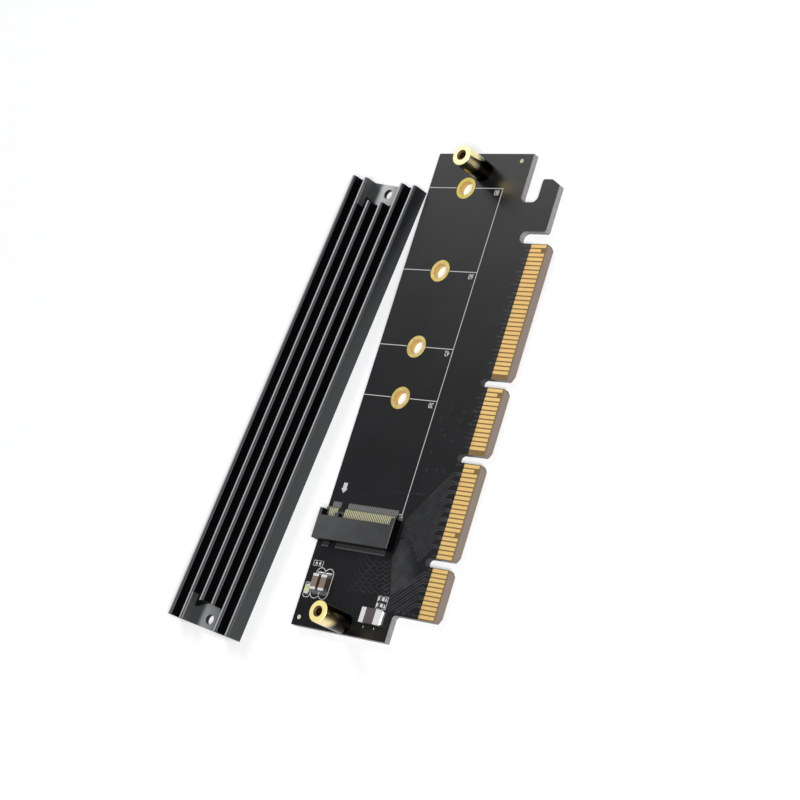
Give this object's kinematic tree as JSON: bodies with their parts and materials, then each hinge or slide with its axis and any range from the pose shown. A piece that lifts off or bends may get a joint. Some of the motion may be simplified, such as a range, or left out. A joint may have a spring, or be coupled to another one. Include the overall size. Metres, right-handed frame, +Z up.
{
  "type": "nvme adapter card",
  "caption": "Flat card that joins an M.2 drive to a PCI Express x16 slot, with a drive socket, plated drive holes, threaded pillars and a separate finned cover lying beside it.",
  "frame": {"origin": "on the underside of the card, where the centre line of the key notch meets the outer edge of the contact tab", "axes": "+X along the card towards its hook end, +Y across it away from the edge contacts, +Z up out of the component side"},
  "size_m": [0.1173, 0.0745, 0.0101],
  "materials": {
    "board_mask": "black solder mask over glass fibre, glossy",
    "edge_gold": "hard gold plating, satin",
    "hole_gold": "gold plating, polished",
    "mark_gold": "gold plating, satin",
    "pillar_brass": "turned and plated, polished",
    "socket_plastic": "moulded, satin",
    "socket_tin": "tinned, satin",
    "socket_gold": "gold plating, satin",
    "capacitor_ceramic": "fired ceramic, satin",
    "filter_ceramic": "fired ceramic, satin",
    "end_tin": "tinned, polished",
    "fuse_plastic": "moulded, satin",
    "lamp_base": "moulded, matte",
    "lamp_lens": "tinted clear resin, glossy",
    "print_ink": "printed ink, matte",
    "cover_anodised": "black anodised, satin"
  },
  "bodies": {
    "root": {"circuit_board": "board_mask", "edge_contacts_top_1": "edge_gold", "edge_contacts_top_2": "edge_gold", "edge_contacts_top_3": "edge_gold", "edge_contacts_top_4": "edge_gold", "edge_contacts_under_1": "edge_gold", "edge_contacts_under_2": "edge_gold", "edge_contacts_under_3": "edge_gold", "edge_contacts_under_4": "edge_gold", "drive_hole_plating_30": "hole_gold", "drive_hole_plating_42": "hole_gold", "drive_hole_plating_60": "hole_gold", "drive_hole_plating_80": "hole_gold", "fiducial_mark_hook_end": "mark_gold", "fiducial_mark_bracket_end": "mark_gold", "pillar_bracket_end": "pillar_brass", "pillar_hook_end": "pillar_brass", "drive_socket_housing": "socket_plastic", "drive_socket_feet": "socket_tin", "drive_socket_lower_contacts": "socket_gold", "drive_socket_upper_contacts": "socket_gold", "capacitor_1_body": "capacitor_ceramic", "capacitor_2_body": "capacitor_ceramic", "filter_capacitor_1_body": "filter_ceramic", "filter_capacitor_2_body": "filter_ceramic", "capacitor_1_ends": "end_tin", "capacitor_2_ends": "end_tin", "filter_capacitor_1_ends": "end_tin", "filter_capacitor_2_ends": "end_tin", "power_fuse_ends": "end_tin", "power_lamp_ends": "end_tin", "power_fuse_body": "fuse_plastic", "power_lamp_body": "lamp_base", "power_lamp_lens": "lamp_lens", "finned_cover": "cover_anodised"}
  },
  "joints": []
}
